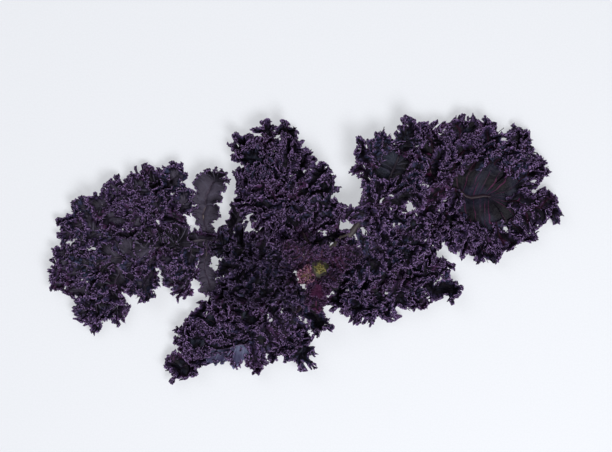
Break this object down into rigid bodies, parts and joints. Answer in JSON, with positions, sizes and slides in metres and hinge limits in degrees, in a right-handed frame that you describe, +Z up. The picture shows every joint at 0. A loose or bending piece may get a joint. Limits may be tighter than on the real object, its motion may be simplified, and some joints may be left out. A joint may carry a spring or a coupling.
{
  "type": "purple kale bunch",
  "caption": "Cut top of a curly purple kale plant, its frilled leaves splayed flat round a short stem and growing tip; a vegetable that lies on a surface.",
  "frame": {"origin": "on the surface that the bunch lies on, under the middle of its outline", "axes": "+Z up, with the growing tip on top; +X towards the end of the broad leaf on the right; +Y towards the top leaf's side"},
  "size_m": [0.5144, 0.2626, 0.0635],
  "materials": {
    "leaf_blade": "satin",
    "heart_blade": "satin",
    "bud": "satin",
    "stem_flesh": "satin"
  },
  "bodies": {
    "root": {"cut_stem": "stem_flesh", "growing_tip": "bud", "leaf_top": "leaf_blade", "leaf_far_left": "leaf_blade", "leaf_left": "leaf_blade", "leaf_lower_left": "leaf_blade", "leaf_lower_right": "leaf_blade", "leaf_right": "leaf_blade", "leaf_upper_right": "leaf_blade", "leaf_inner_right": "leaf_blade", "heart_leaf_1": "heart_blade", "heart_leaf_2": "heart_blade", "heart_leaf_3": "heart_blade", "heart_leaf_4": "heart_blade", "heart_leaf_5": "heart_blade", "heart_leaf_6": "heart_blade"}
  },
  "joints": []
}
